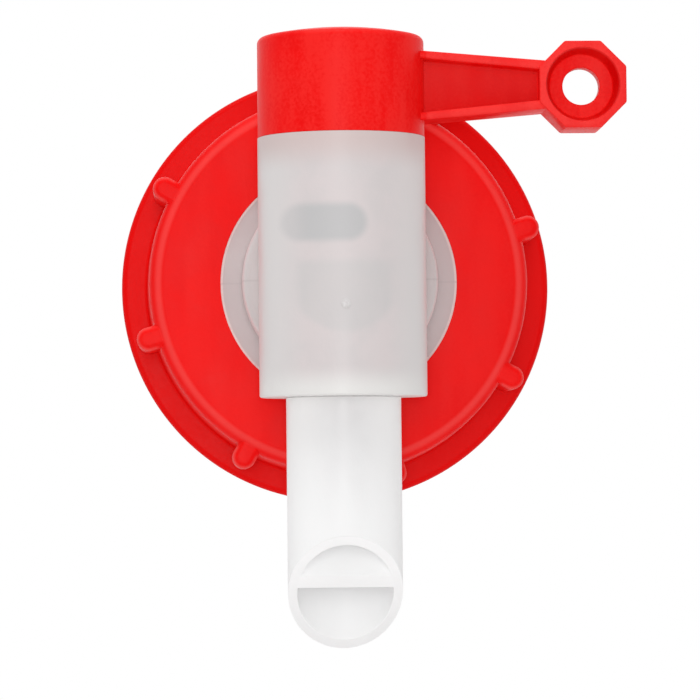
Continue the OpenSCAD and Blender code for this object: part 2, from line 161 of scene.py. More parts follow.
def lug_tree():
    """Sets copies of one lug round the Z axis at even angles."""
    tree, given = new_tree("grip_lugs", Count="NodeSocketInt", First_Angle="NodeSocketFloat")
    points = add(tree, "GeometryNodePoints", Count=given["Count"])
    share = add(tree, "ShaderNodeMath")
    share.operation = "DIVIDE"
    tree.links.new(add(tree, "GeometryNodeInputIndex").outputs[0], share.inputs[0])
    tree.links.new(given["Count"], share.inputs[1])
    angle = add(tree, "ShaderNodeMath")
    angle.operation = "MULTIPLY_ADD"
    tree.links.new(share.outputs[0], angle.inputs[0])
    angle.inputs[1].default_value = 2 * math.pi
    tree.links.new(given["First Angle"], angle.inputs[2])
    turn = add(tree, "ShaderNodeCombineXYZ", Z=angle.outputs[0])
    lugs = add(tree, "GeometryNodeInstanceOnPoints", Points=points.outputs[0], Instance=given["Shape"],
               Rotation=turn.outputs[0])
    return end_tree(tree, lugs.outputs[0], given["Finish"])


def thread_tree():
    """Carries a ridge's section along a helix, and runs it out to nothing at both ends."""
    tree, given = new_tree("thread_ridge", Radius="NodeSocketFloat", Turns="NodeSocketFloat",
                           Climb="NodeSocketFloat", Run_Out="NodeSocketFloat")
    helix = add(tree, "GeometryNodeCurveSpiral", Resolution=96, Rotations=given["Turns"],
                Start_Radius=given["Radius"], End_Radius=given["Radius"], Height=given["Climb"])
    path = add(tree, "GeometryNodeSetCurveNormal", Curve=helix.outputs[0])
    path.mode = "Z_UP"
    along = add(tree, "GeometryNodeSplineParameter").outputs["Factor"]
    rise = add(tree, "ShaderNodeMapRange", Value=along, From_Max=given["Run Out"], To_Min=0.02)
    rest = add(tree, "ShaderNodeMath")
    rest.operation = "SUBTRACT"
    rest.inputs[0].default_value = 1.0
    tree.links.new(along, rest.inputs[1])
    fall = add(tree, "ShaderNodeMapRange", Value=rest.outputs[0], From_Max=given["Run Out"], To_Min=0.02)
    height = add(tree, "ShaderNodeMath")
    height.operation = "MINIMUM"
    tree.links.new(rise.outputs[0], height.inputs[0])
    tree.links.new(fall.outputs[0], height.inputs[1])
    section = add(tree, "GeometryNodeMeshToCurve", Mesh=given["Shape"])
    ridge = add(tree, "GeometryNodeCurveToMesh", Curve=path.outputs[0], Profile_Curve=section.outputs[0],
                Scale=height.outputs[0], Fill_Caps=True)
    return end_tree(tree, ridge.outputs[0], given["Finish"])


def rounded(corners, closed=True):
    """The points of an outline whose corners (x, y, radius) are rounded."""
    points = []
    count = len(corners)
    for i, (x, y, radius) in enumerate(corners):
        corner = Vector((x, y))
        if radius == 0 or not closed and i in (0, count - 1):
            points.append(corner)
            continue
        back = (Vector(corners[i - 1][:2]) - corner).normalized()
        ahead = (Vector(corners[(i + 1) % count][:2]) - corner).normalized()
        half = back.angle(ahead) / 2
        centre = corner + (back + ahead).normalized() * radius / math.sin(half)
        start = corner + back * radius / math.tan(half) - centre
        end = corner + ahead * radius / math.tan(half) - centre
        first = math.atan2(start.y, start.x)
        sweep = (math.atan2(end.y, end.x) - first + math.pi) % (2 * math.pi) - math.pi
        steps = max(2, math.ceil(abs(sweep) / math.radians(11)))
        for k in range(steps + 1):
            angle = first + sweep * k / steps
            points.append(centre + Vector((math.cos(angle), math.sin(angle))) * radius)
    return points


def arc(x, y, radius, start, end, steps):
    """Points on a circle from one angle to another, in degrees."""
    angles = [math.radians(start + (end - start) * k / steps) for k in range(steps + 1)]
    return [Vector((x + radius * math.cos(a), y + radius * math.sin(a))) for a in angles]


def line_mesh(points, closed):
    mesh = bpy.data.meshes.new("outline")
    edges = [(k, k + 1) for k in range(len(points) - 1)]
    if closed:
        edges.append((len(points) - 1, 0))
    mesh.from_pydata([(p[0], p[1], 0) for p in points], edges, [])
    return mesh


def turned(corners, finish, steps=192, closed=True):
    """A piece turned about the Z axis; its corners are (distance from the axis, height, rounding)."""
    path_r = 5.0
    points = [(p.x - path_r, -p.y) for p in rounded(corners, closed)]
    return grown(TURNING, line_mesh(points, closed), Path_Radius=path_r, Steps=steps, Finish=finish)


def loft(rings):
    """A closed mesh over rings of points that have the same count, with flat ends."""
    mesh = bpy.data.meshes.new("loft")
    count = len(rings[0])
    faces = [tuple(range(count)), tuple((len(rings) - 1) * count + k for k in range(count))]
    for r in range(len(rings) - 1):
        for k in range(count):
            a, b = r * count + k, r * count + (k + 1) % count
            faces.append((a, b, b + count, a + count))
    mesh.from_pydata([p for ring in rings for p in ring], [], faces)
    return tidied(mesh)


def sector(inner, outer, low, high, start, span):
    """A part of a ring about the Z axis, from one angle on, in degrees."""
    corners = ((inner, low), (outer, low), (outer, high), (inner, high))
    turns = [math.radians(start + span * k / 24) for k in range(25)]
    return loft([[(r * math.cos(a), r * math.sin(a), z) for r, z in corners] for a in turns])


def slab(outline, near, far):
    """An outline in X and Z carried along Y."""
    return loft([[(p[0], y, p[1]) for p in outline] for y in (near, far)])


def softened(mesh, width, angle=30, steps=3):
    """The mesh with its sharper edges rounded by that width."""
    obj = temporary(mesh)
    bevel = obj.modifiers.new("bevel", "BEVEL")
    bevel.width = width
    bevel.segments = steps
    bevel.limit_method = "ANGLE"
    bevel.angle_limit = math.radians(angle)
    return tidied(plain_mesh(obj))


def combined(mesh, operation, *others):
    """The mesh after a Boolean with each of the others."""
    for other in others:
        base, tool = temporary(mesh), temporary(other)
        modifier = base.modifiers.new("boolean", "BOOLEAN")
        modifier.operation = operation
        modifier.solver = "EXACT"
        modifier.object = tool
        mesh = plain_mesh(base)
        bpy.data.objects.remove(tool)
    return mesh


def moved(mesh, matrix):
    mesh.transform(matrix)
    return mesh


def piece(name, mesh, body, node, finish, smooth=28):
    """A finished piece in metres that rides on a body and stands for a CAD node."""
    tidied(mesh)
    mesh.transform(Matrix.Scale(MM, 4))
    mesh.shade_smooth()
    mesh.set_sharp_from_angle(angle=math.radians(smooth))
    mesh.materials.clear()
    mesh.materials.append(finish)
    mesh.name = name
    obj = bpy.data.objects.new(name, mesh)
    bpy.context.scene.collection.objects.link(obj)
    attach(obj, body)
    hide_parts(node)
    return obj


# Pieces

def cap_shell(finish):
    """Front plate with its hole, skirt and rear flange."""
    return turned([
        (CAP_HOLE_R, CAP_FRONT, 0.05),
        (SKIRT_R, CAP_FRONT, 2.5),
        (REAR_R, FLANGE_FRONT, 0.5),
        (FLANGE_R, FLANGE_FRONT, 1.05),
        (FLANGE_R, CAP_REAR, 1.05),
        (THREAD_R + 0.6, CAP_REAR, 0.2),
        (THREAD_R, CAP_REAR - 0.6, 0.2),
        (THREAD_R, PLATE_BACK, 0.6),
        (CAP_HOLE_R, PLATE_BACK, 0.2),
    ], finish, steps=256)


def cap_lugs(finish):
    """Round-ended pegs along the skirt, flat in front with a soft edge."""
    rear, root = FLANGE_FRONT + 1.0, THREAD_R + 0.4

    def section(height, shrink):
        half = LUG_R - shrink
        ring = [(root, -half)] + [tuple(p) for p in arc(LUG_AXIS_R, 0, half, -90, 90, 24)] + [(root, half)]
        return [(x, y, height) for x, y in ring]

    rings = []
    for k in range(9):
        angle = math.radians(90 * k / 8)
        rings.append(section(LUG_FRONT + LUG_EDGE * (1 - math.sin(angle)), LUG_EDGE * (1 - math.cos(angle))))
    rings.reverse()
    rings.append(section(rear, 0))
    return grown(LUGS, loft(rings), Count=LUG_COUNT, First_Angle=math.radians(-LUG_TURN), Finish=finish)


def cap_thread(finish):
    depth, base, crest = THREAD_R - CREST_R, 2.0, 0.8
    section = rounded([(0.3, base / 2, 0), (0, base / 2, 0.2), (-depth, crest / 2, 0.2),
                       (-depth, -crest / 2, 0.2), (0, -base / 2, 0.2), (0.3, -base / 2, 0)])
    ridge = grown(THREAD, line_mesh(section, True), Radius=THREAD_R, Turns=THREAD_TURNS,
                  Climb=THREAD_TURNS * THREAD_PITCH, Run_Out=0.04, Finish=finish)
    return moved(ridge, Matrix.Translation((0, 0, THREAD_START)))


def make_cap(finish):
    mesh = combined(cap_shell(finish), "UNION", cap_lugs(finish), cap_thread(finish))
    return piece("cap", moved(mesh, TO_CAP_AXIS), "cap", "screw_cap", finish)


def knob(finish):
    """A hollow cylinder with a slightly crowned top."""
    crown = [(r, KNOB_TOP - CROWN_R + math.sqrt(CROWN_R ** 2 - r ** 2), 0) for r in (0, 2, 4, 6, 8, 10, 11.5)]
    return turned(crown + [
        (KNOB_R, KNOB_TOP - CROWN_R + math.sqrt(CROWN_R ** 2 - KNOB_R ** 2), 1.1),
        (KNOB_R, KNOB_BOTTOM - 0.07, 0.06),
        (KNOB_INNER_R, KNOB_BOTTOM, 0.12),
        (KNOB_INNER_R, KNOB_CEILING, 0.8),
        (0, KNOB_CEILING, 0),
    ], finish, closed=False)


def spindle_socket(finish):
    """The six-sided tube under the knob's top."""
    ring = [tuple(p) for p in arc(0, 0, SOCKET_FLAT / math.cos(math.radians(30)), 0, 300, 5)]
    tube = turned([(0, SOCKET_LOW, 0), (SOCKET_R, SOCKET_LOW, 0.3), (SOCKET_R, SOCKET_TOP, 0),
                   (0, SOCKET_TOP, 0)], finish, 96, closed=False)
    hole = loft([[(y, x, z) for x, y in ring] for z in (SOCKET_LOW - 1.5, SOCKET_DEEP)])
    return combined(tube, "DIFFERENCE", hole)


def lever():
    """A web between two rails that taper from the knob to the eye."""

    def section(x, half, rail):
        inner = half - rail
        ring = [(-LEVER_HALF_T, -half), (LEVER_HALF_T, -half), (LEVER_HALF_T, -inner), (WEB_HALF_T, -inner),
                (WEB_HALF_T, inner), (LEVER_HALF_T, inner), (LEVER_HALF_T, half), (-LEVER_HALF_T, half),
                (-LEVER_HALF_T, inner), (-WEB_HALF_T, inner), (-WEB_HALF_T, -inner), (-LEVER_HALF_T, -inner)]
        return [(x, y, z) for y, z in ring]

    ends = [section(LEVER_ROOT_X, ROOT_HALF, ROOT_RAIL), section(LEVER_TIP_X, TIP_HALF, TIP_RAIL)]
    return softened(loft(ends), 0.28)


def eye(finish):
    """The eight-sided end with a dished recess on both sides and a hole."""
    side = EYE_HALF * math.tan(math.radians(22.5))
    outline = [(-EYE_HALF, -side), (-side, -EYE_HALF), (side, -EYE_HALF), (EYE_HALF, -side),
               (EYE_HALF, side), (side, EYE_HALF), (-side, EYE_HALF), (-EYE_HALF, side)]
    block = softened(slab(outline, -EYE_HALF_T, EYE_HALF_T), 0.22)
    rim_r, floor_r, hole_r, web, clear = 5.95, 5.15, 3.0, 1.5, 5.7
    half = [(6.5, clear, 0), (rim_r, 4.75, 0.4), (floor_r, web, 0.3), (hole_r, web, 0.2)]
    cutter = [(0, clear, 0)] + half + [(r, -h, f) for r, h, f in reversed(half)] + [(0, -clear, 0)]
    dish = moved(turned(cutter, finish, 160, closed=False), TO_CAP_AXIS)
    return moved(combined(block, "DIFFERENCE", dish), Matrix.Translation((EYE_X, 0, 0)))


def make_handle(finish):
    arm = moved(combined(lever(), "UNION", eye(finish)), Matrix.Translation((0, 0, LEVER_Z)))
    stop = sector(KNOB_INNER_R, STOP_LUG_R, STOP_LUG_LOW, KNOB_BOTTOM + 0.4, STOP_LUG_START, STOP_LUG_SPAN)
    mesh = combined(knob(finish), "UNION", spindle_socket(finish), stop, arm)
    return piece("handle", moved(mesh, TO_BARREL), "valve", "lever_handle", finish)


def passage_outline(half_width):
    """The liquid passage: a circle with a flat top, narrowed to that half width."""
    low = math.degrees(math.acos(min(1.0, half_width / LIQUID_R)))
    top = math.degrees(math.asin(LIQUID_TOP / LIQUID_R))
    if half_width < LIQUID_R:
        bottom = arc(0, 0, LIQUID_R, 180 + low, 360 - low, 48)
        return [(-half_width, LIQUID_TOP)] + [tuple(p) for p in bottom] + [(half_width, LIQUID_TOP)]
    return [tuple(p) for p in arc(0, 0, LIQUID_R, 180 - top, 360 + top, 96)]


def make_body(finish):
    """Barrel and hub in one moulding, with the bore, the two ports and the slot for the lever's stop."""
    barrel = turned([(0, BARREL_BOTTOM, 0), (BARREL_R, BARREL_BOTTOM, 0.35), (BARREL_R, BARREL_TOP, 0.06),
                     (0, BARREL_TOP, 0)], finish, 224, closed=False)
    hub = turned([(0, BOSS_FRONT, 0), (BOSS_R, BOSS_FRONT, 1.6), (BOSS_R, HUB_FRONT, 0.6),
                  (HUB_R, HUB_FRONT, 0), (HUB_R, RING_FRONT, 0), (RING_SEAT_R, RING_FRONT, 0),
                  (RING_SEAT_R, HUB_REAR, 0.3), (0, HUB_REAR, 0)], finish, 224, closed=False)
    mark_r, sunk, proud = 0.8, -0.4, 0.12
    mark = turned([(0, sunk, 0), (mark_r, sunk, 0), (mark_r, 0.04, 0.03), (0.5, proud, 0.1), (0, proud, 0)],
                  finish, 40, closed=False)
    mark.transform(Matrix.Rotation(math.radians(90), 4, "X"))
    mark.transform(Matrix.Translation((0, BARREL_Y - BARREL_R, MARK_Z)))
    body = combined(moved(barrel, TO_BARREL), "UNION", moved(hub, TO_CAP_AXIS), mark)
    bore = turned([(0, FLOOR_TOP, 0), (BORE_R, FLOOR_TOP, 0.3), (BORE_R, GROOVE_Z - GROOVE_DEPTH, 0),
                   (BORE_R + GROOVE_DEPTH, GROOVE_Z, 0), (BORE_R, GROOVE_Z + GROOVE_DEPTH, 0),
                   (BORE_R, BARREL_TOP - 0.3, 0), (BORE_R + 0.8, BARREL_TOP + 0.5, 0),
                   (0, BARREL_TOP + 0.5, 0)], finish, 160, closed=False)
    neck = turned([(0, BARREL_BOTTOM - 1, 0), (NECK_R + 0.05, BARREL_BOTTOM - 1, 0),
                   (NECK_R + 0.05, FLOOR_TOP + 1, 0), (0, FLOOR_TOP + 1, 0)], finish, 160, closed=False)
    air_end = AIR_H / 2
    run = AIR_W / 2 - air_end
    slot = arc(AIR_X + run, AIR_Z, air_end, -90, 90, 24) + arc(AIR_X - run, AIR_Z, air_end, 90, 270, 24)
    stop = sector(BORE_R - 0.4, STOP_SLOT_R, STOP_SLOT_LOW, BARREL_TOP + 0.4, STOP_SLOT_START, STOP_SLOT_SPAN)
    cuts = [
        moved(bore, TO_BARREL),
        moved(stop, TO_BARREL),
        moved(neck, TO_BARREL),
        slab(passage_outline(LIQUID_R), PORT_BACK, HUB_REAR + 1),
        slab(passage_outline(PORT_W / 2), BARREL_Y, PORT_BACK + 0.4),
        slab([tuple(p) for p in slot], BARREL_Y, HUB_REAR + 1),
    ]
    mesh = combined(body, "DIFFERENCE", *cuts)
    return piece("body", mesh, "tap", "tap_body", finish)


def channel(front, back, low, high):
    """One of the spout's two channels: the bore between two planes."""
    def turn(y):
        return math.degrees(math.asin(max(-1.0, min(1.0, y / CHANNEL_R))))

    right = arc(0, 0, CHANNEL_R, turn(front), turn(back), 48)
    left = [Vector((-p.x, p.y)) for p in reversed(right)]
    ring = right + left
    return loft([[(p.x, p.y, z) for p in ring] for z in (low, high)])


def make_spout(finish):
    """A tube with a wall across its bore, cut off at a slant."""
    tube = turned([(0, SPOUT_TIP - 2, 0), (SPOUT_R, SPOUT_TIP - 2, 0), (SPOUT_R, BARREL_BOTTOM, 0.25),
                   (NECK_R, BARREL_BOTTOM, 0), (NECK_R, FLOOR_TOP, 0.3), (0, FLOOR_TOP, 0)],
                  finish, 192, closed=False)
    reach = 60.0
    slant = slab([(-reach, 0), (reach, 0), (reach, -reach), (-reach, -reach)], -reach, reach)
    slant.transform(Matrix.Translation((0, SPOUT_R, SPOUT_TIP)) @ Matrix.Rotation(math.radians(-45), 4, "X"))
    mesh = combined(tube, "DIFFERENCE",
                    channel(-CHANNEL_R + 1e-3, SEPTUM_FRONT, SPOUT_TIP - 4, FLOOR_TOP + 2),
                    channel(SEPTUM_BACK, CHANNEL_R - 1e-3, SPOUT_TIP - 4, FLOOR_TOP + 2), slant)
    mesh = softened(mesh, 0.3, angle=24, steps=3)
    return piece("spout_tube", moved(mesh, TO_BARREL), "tap", "spout", finish)


# Finishes

# Colours as linear red, green and blue
RED_DARK = (0.87, 0.003, 0.003)
RED_LIGHT = (0.93, 0.004, 0.004)
RED_MOTTLED = (0.95, 0.024, 0.02)
RED_FLANGE_SHADE = (0.78, 0.001, 0.001)
RED_RECESS_SHADE = (0.62, 0.001, 0.001)
RED_PAINTED_HIGHLIGHT = (1.0, 0.14, 0.13)
NATURAL_DARK = (0.66, 0.613, 0.613)
NATURAL_LIGHT = (0.70, 0.635, 0.635)
NATURAL_SIDES_LIGHT = (0.74, 0.712, 0.708)
NATURAL_KNOB_SHADE = (0.65, 0.53, 0.515)
NATURAL_FLOOR = (0.80, 0.785, 0.77)
NATURAL_AIR_SLOT = (0.52, 0.52, 0.525)
NATURAL_PASSAGE = (0.585, 0.58, 0.578)
NATURAL_REAR_SHADE = (0.63, 0.57, 0.565)
NATURAL_BOSS_LIGHT = (0.78, 0.73, 0.73)
NATURAL_HUB_SHADE = (0.57, 0.495, 0.493)
NATURAL_HUB_EDGE_HIGHLIGHT = (0.86, 0.79, 0.765)
NATURAL_RING = (0.72, 0.69, 0.685)
NATURAL_SEAM = (0.46, 0.40, 0.40)
NATURAL_SCAR = (0.8, 0.79, 0.79)
# Spout: painted shade at its top, painted light at its sides, low down, on the cut and in the channels
WHITE_TOP, WHITE_TOP_SIDES = (0.77, 0.757, 0.76), (0.97, 0.955, 0.95)
WHITE_LOW, WHITE_LOW_SIDES = (0.93, 0.93, 0.93), (1.0, 1.0, 1.0)
WHITE_CLOUD = (0.95, 0.95, 0.95)
WHITE_CUT_HIGH, WHITE_CUT_LOW = (1.0, 1.0, 1.0), (0.93, 0.93, 0.93)
WHITE_CHANNEL, WHITE_CHANNEL_SIDES = (0.98, 0.98, 0.98), (1.0, 1.0, 1.0)
GREY_DARK, GREY_LIGHT = (0.07, 0.07, 0.075), (0.10, 0.10, 0.105)
PALE_DARK, PALE_LIGHT = (0.62, 0.60, 0.57), (0.70, 0.68, 0.65)
FLOOR_DARK, FLOOR_LIGHT = (0.92, 0.92, 0.92), (0.94, 0.94, 0.94)

# Range in which noise varies most
NOISE_LOW, NOISE_HIGH = 0.3, 0.7


def new_finish(name, **fixed):
    """A material, its node tree, its shader with these constants set, and Object coordinates."""
    finish = bpy.data.materials.new(name)
    finish.use_nodes = True
    tree = finish.node_tree
    shader = tree.nodes["Principled BSDF"]
    for socket, value in fixed.items():
        shader.inputs[socket.replace("_", " ")].default_value = value
    return finish, tree, shader, add(tree, "ShaderNodeTexCoord").outputs["Object"]


def apart(tree, place):
    """The three coordinates of a place."""
    return add(tree, "ShaderNodeSeparateXYZ", Vector=place).outputs


def grain(tree, place, size, detail=2.0, stretch=None):
    """Noise from 0 to 1 whose blotches are about that many millimetres across."""
    if stretch:
        place = add(tree, "ShaderNodeMapping", Vector=place, Scale=stretch).outputs[0]
    return add(tree, "ShaderNodeTexNoise", Vector=place, Scale=1 / (size * MM), Detail=detail,
               Roughness=0.55).outputs[0]


def ranged(tree, value, low, high, to_low=0.0, to_high=1.0):
    """A value eased from one range to another and held at its ends."""
    node = add(tree, "ShaderNodeMapRange", Value=value, From_Min=low, From_Max=high,
               To_Min=to_low, To_Max=to_high)
    node.interpolation_type = "SMOOTHSTEP"
    return node.outputs[0]


def across(tree, place, start, end, low=0.0, high=1.0):
    """A share eased from one place to another, both in millimetres."""
    return ranged(tree, place, start * MM, end * MM, low, high)


def ringed(tree, place, start, full, still, end, share=1.0):
    """A share that rises between the first two places, holds, and falls between the last two."""
    return times(tree, across(tree, place, start, full), across(tree, place, end, still, 0.0, share))


def reckon(tree, operation, first, second=0.0):
    """What a sum makes of two values, each a socket or a number."""
    node = tree.nodes.new("ShaderNodeMath")
    node.operation = operation
    for socket, value in zip(node.inputs, (first, second)):
        if isinstance(value, bpy.types.NodeSocket):
            tree.links.new(value, socket)
        else:
            socket.default_value = value
    return node.outputs[0]


def times(tree, first, *others):
    """The product of several values."""
    for other in others:
        first = reckon(tree, "MULTIPLY", first, other)
    return first


def past(tree, value, start):
    """A place measured from a start in millimetres."""
    return reckon(tree, "SUBTRACT", value, start * MM)


def off(tree, value, middle):
    """How far a place lies from a middle in millimetres, on either side."""
    return reckon(tree, "ABSOLUTE", past(tree, value, middle))


def distance(tree, sideways, upwards):
    """How far a point lies from the middle of a flat figure."""
    node = add(tree, "ShaderNodeVectorMath")
    node.operation = "LENGTH"
    flat = add(tree, "ShaderNodeCombineXYZ", X=sideways, Y=upwards)
    tree.links.new(flat.outputs[0], node.inputs[0])
    return node.outputs["Value"]


def blended(tree, share, first, second):
    """Two colours mixed by a share."""
    node = tree.nodes.new("ShaderNodeMix")
    node.data_type = "RGBA"
    for socket, value in zip((node.inputs[0], node.inputs[6], node.inputs[7]), (share, first, second)):
        if isinstance(value, bpy.types.NodeSocket):
            tree.links.new(value, socket)
        else:
            socket.default_value = (*value, 1.0)
    return node.outputs[2]


def layered(tree, colour, *layers):
    """A colour with others laid over it in turn, each given as a share and a colour."""
    for share, over in layers:
        colour = blended(tree, share, colour, over)
    return colour


def bumped(tree, shader, height, depth):
    """Sets a height pattern, depth millimetres deep, on the shader."""
    bump = add(tree, "ShaderNodeBump", Height=height, Strength=1.0, Distance=depth * MM)
    tree.links.new(bump.outputs[0], shader.inputs["Normal"])


def off_lug(tree, x, z, radius):
    """How far a point of the cap lies from the middle line of the nearest lug."""
    pitch = 2 * math.pi / LUG_COUNT
    turn = reckon(tree, "SUBTRACT", reckon(tree, "ARCTAN2", z, x), math.radians(LUG_TURN) - pitch / 2)
    turn = reckon(tree, "SUBTRACT", reckon(tree, "FLOORED_MODULO", turn, pitch), pitch / 2)
    beyond = reckon(tree, "MAXIMUM", past(tree, radius, LUG_AXIS_R), 0.0)
    return distance(tree, times(tree, turn, radius), beyond)


def painted_recess_shade(tree, x, y, z, handle):
    """Share of a painted shade, a deeper red, on the lever's web and in the eye's dish."""
    eye_start = EYE_X - EYE_HALF
    on_lever = ringed(tree, x, KNOB_R - 0.2, KNOB_R, eye_start - 0.2, eye_start)
    taper = times(tree, past(tree, x, LEVER_ROOT_X), WEB_TAPER)
    web_half = ROOT_HALF - ROOT_RAIL
    within = across(tree, reckon(tree, "ADD", off(tree, z, LEVER_Z), taper), web_half + 0.3, web_half - 0.1)
    web = times(tree, within, on_lever, across(tree, off(tree, y, BARREL_Y), 3.6, 1.8, 0.0, 0.45))
    eye_r = distance(tree, past(tree, x, EYE_X), past(tree, z, LEVER_Z))
    dish = times(tree, handle, ringed(tree, eye_r, 5.0, 5.3, 5.8, 6.0, 0.6))
    return reckon(tree, "MAXIMUM", web, dish)


def painted_edge_highlight(tree, x, y, z, handle):
    """Share of a paler red painted as a highlight on the cap's edge, the lugs' ends, the rails and the eye's
    ring.
    """
    radius = distance(tree, x, z)
    crest = ringed(tree, radius, 29.0, 29.7, 29.9, 30.8, 0.32)
    lug_end = times(tree, across(tree, radius, SKIRT_R, SKIRT_R + 0.9),
                    across(tree, off_lug(tree, x, z, radius), LUG_R - 0.6, LUG_R - 0.15, 0.0, 0.36))
    cap = times(tree, reckon(tree, "MAXIMUM", crest, lug_end), across(tree, y, -12, -13.5),
                reckon(tree, "SUBTRACT", 1.0, handle))
    rails = times(tree, handle, across(tree, off(tree, y, BARREL_Y), 4.2, 4.4),
                  across(tree, x, KNOB_R, KNOB_R + 0.3, 0.0, 0.15))
    return reckon(tree, "MAXIMUM", cap, rails)


def red_plastic():
    """Satin red with mottled streaks; the handle, which lies in front of the cap, is mottled more. Painted
    shade deepens the flange and the recesses, and a painted highlight pales the edges.
    """
    finish, tree, shader, place = new_finish("red_plastic", Specular_IOR_Level=0.075)
    x, y, z = apart(tree, place)
    handle = across(tree, y, BARREL_Y + KNOB_R + 1.2, BARREL_Y + KNOB_R)
    broad = grain(tree, place, 9.0, 3.0)
    streaks = grain(tree, place, 4.5, 2.0, (1.0, 1.0, 0.2))
    fine = grain(tree, place, 0.5, 3.0)
    mottle = reckon(tree, "ADD", streaks, times(tree, fine, 0.6))
    marked = times(tree, ranged(tree, mottle, 0.64, 0.96), ranged(tree, handle, 0.0, 1.0, 0.25, 0.75))
    colour = layered(
        tree, blended(tree, ranged(tree, broad, NOISE_LOW, NOISE_HIGH), RED_DARK, RED_LIGHT),
        (marked, RED_MOTTLED),
        # painted shade: a deeper red on the flange, where the skirt shades it
        (across(tree, y, -9, FLANGE_FRONT - 0.4, 0.0, 0.85), RED_FLANGE_SHADE),
        # painted shade: a deeper red in the lever's web and the eye's dish
        (painted_recess_shade(tree, x, y, z, handle), RED_RECESS_SHADE),
        # painted highlight: a paler red along the cap's edge, the lugs' ends, the rails and the eye's ring
        (painted_edge_highlight(tree, x, y, z, handle), RED_PAINTED_HIGHLIGHT),
    )
    rough = ranged(tree, reckon(tree, "ADD", broad, fine), 2 * NOISE_LOW, 2 * NOISE_HIGH, 0.32, 0.44)
    tree.links.new(colour, shader.inputs["Base Color"])
    tree.links.new(rough, shader.inputs["Roughness"])
    bumped(tree, shader, reckon(tree, "ADD", fine, times(tree, streaks, 0.8)), 0.02)
    return finish


def port_shades(tree, x, y, z):
    """Shares from 0 to 1 of the air slot and the liquid passage that show through the barrel's front."""
    soft, drop = 0.8, 1.26
    front = across(tree, y, BARREL_Y - 1, BARREL_Y - 6)
    slot_r = AIR_H / 2 - 0.1
    beside = reckon(tree, "MAXIMUM", past(tree, off(tree, x, AIR_X - 0.2), (AIR_W - AIR_H) / 2), 0.0)
    slot = across(tree, distance(tree, beside, past(tree, z, AIR_Z - drop)), slot_r + soft, slot_r - soft)
    fading = across(tree, x, -9.5, -5.0, 0.55, 1.0)
    passage_r, top = LIQUID_R - 0.2, LIQUID_TOP - drop
    passage = times(tree, across(tree, distance(tree, x, z), passage_r + soft, passage_r - soft),
                    across(tree, off(tree, x, 0), PORT_W / 2 + 2.4, PORT_W / 2),
                    across(tree, z, top + 1, top - 1))
    return times(tree, slot, fading, front), times(tree, passage, front)


def natural_plastic():
    """Milky plastic: what lies behind the barrel's wall shows as shades of its colour. Painted light pales
    the barrel's sides and the boss; painted shade, tinted pink by the red parts, darkens the barrel's top,
    its back and the hub, whose edge has a painted highlight.
    """
    finish, tree, shader, place = new_finish("natural_plastic", Specular_IOR_Level=0.3)
    x, y, z = apart(tree, place)
    cloud = grain(tree, place, 7.0, 3.0)
    fine = grain(tree, place, 0.6, 2.0)
    clouded = ranged(tree, cloud, NOISE_LOW, NOISE_HIGH)
    slot, passage = port_shades(tree, x, y, z)
    hub_edge_highlight = times(tree, across(tree, distance(tree, x, z), HUB_R - 0.5, HUB_R - 0.15),
                     across(tree, y, -18, -17))
    seam = times(tree, across(tree, y, -26, -25), across(tree, off(tree, z, 0), 0.25, 0.05, 0.0, 0.3))
    scar = times(tree, across(tree, distance(tree, x, past(tree, z, MARK_Z)), 1.0, 0.4, 0.0, 0.55),
                 across(tree, y, -44, -45), ranged(tree, fine, 0.35, 0.65))
    colour = layered(
        tree, blended(tree, clouded, NATURAL_DARK, NATURAL_LIGHT),
        # painted light: the barrel pales toward its sides, as light through the milky wall makes it
        (across(tree, off(tree, x, 0), 5.5, 12.5), NATURAL_SIDES_LIGHT),
        # painted shade at the barrel's top under the knob, tinted pink by the red knob
        (across(tree, z, 16, 21.5, 0.0, 0.9), NATURAL_KNOB_SHADE),
        (across(tree, z, -14.2, -18.6), NATURAL_FLOOR),
        (times(tree, slot, 0.85), NATURAL_AIR_SLOT),
        (times(tree, passage, 0.45), NATURAL_PASSAGE),
        # painted shade, tinted pink by the red cap, toward the back
        (across(tree, y, -29, -25), NATURAL_REAR_SHADE),
        # painted light on the boss's side
        (across(tree, y, BOSS_FRONT + 0.2, BOSS_FRONT + 1.4), NATURAL_BOSS_LIGHT),
        # painted shade, tinted pink by the red cap, on the hub's face in the cap's hole
        (across(tree, y, HUB_FRONT - 1, HUB_FRONT - 0.3), NATURAL_HUB_SHADE),
        # painted highlight along the hub's edge
        (hub_edge_highlight, NATURAL_HUB_EDGE_HIGHLIGHT),
        (across(tree, y, RING_FRONT - 0.5, RING_FRONT), NATURAL_RING),
        (seam, NATURAL_SEAM),
        (scar, NATURAL_SCAR),
    )
    tree.links.new(colour, shader.inputs["Base Color"])
    tree.links.new(ranged(tree, cloud, NOISE_LOW, NOISE_HIGH, 0.36, 0.46), shader.inputs["Roughness"])
    bumped(tree, shader, reckon(tree, "ADD", fine, cloud), 0.012)
    return finish


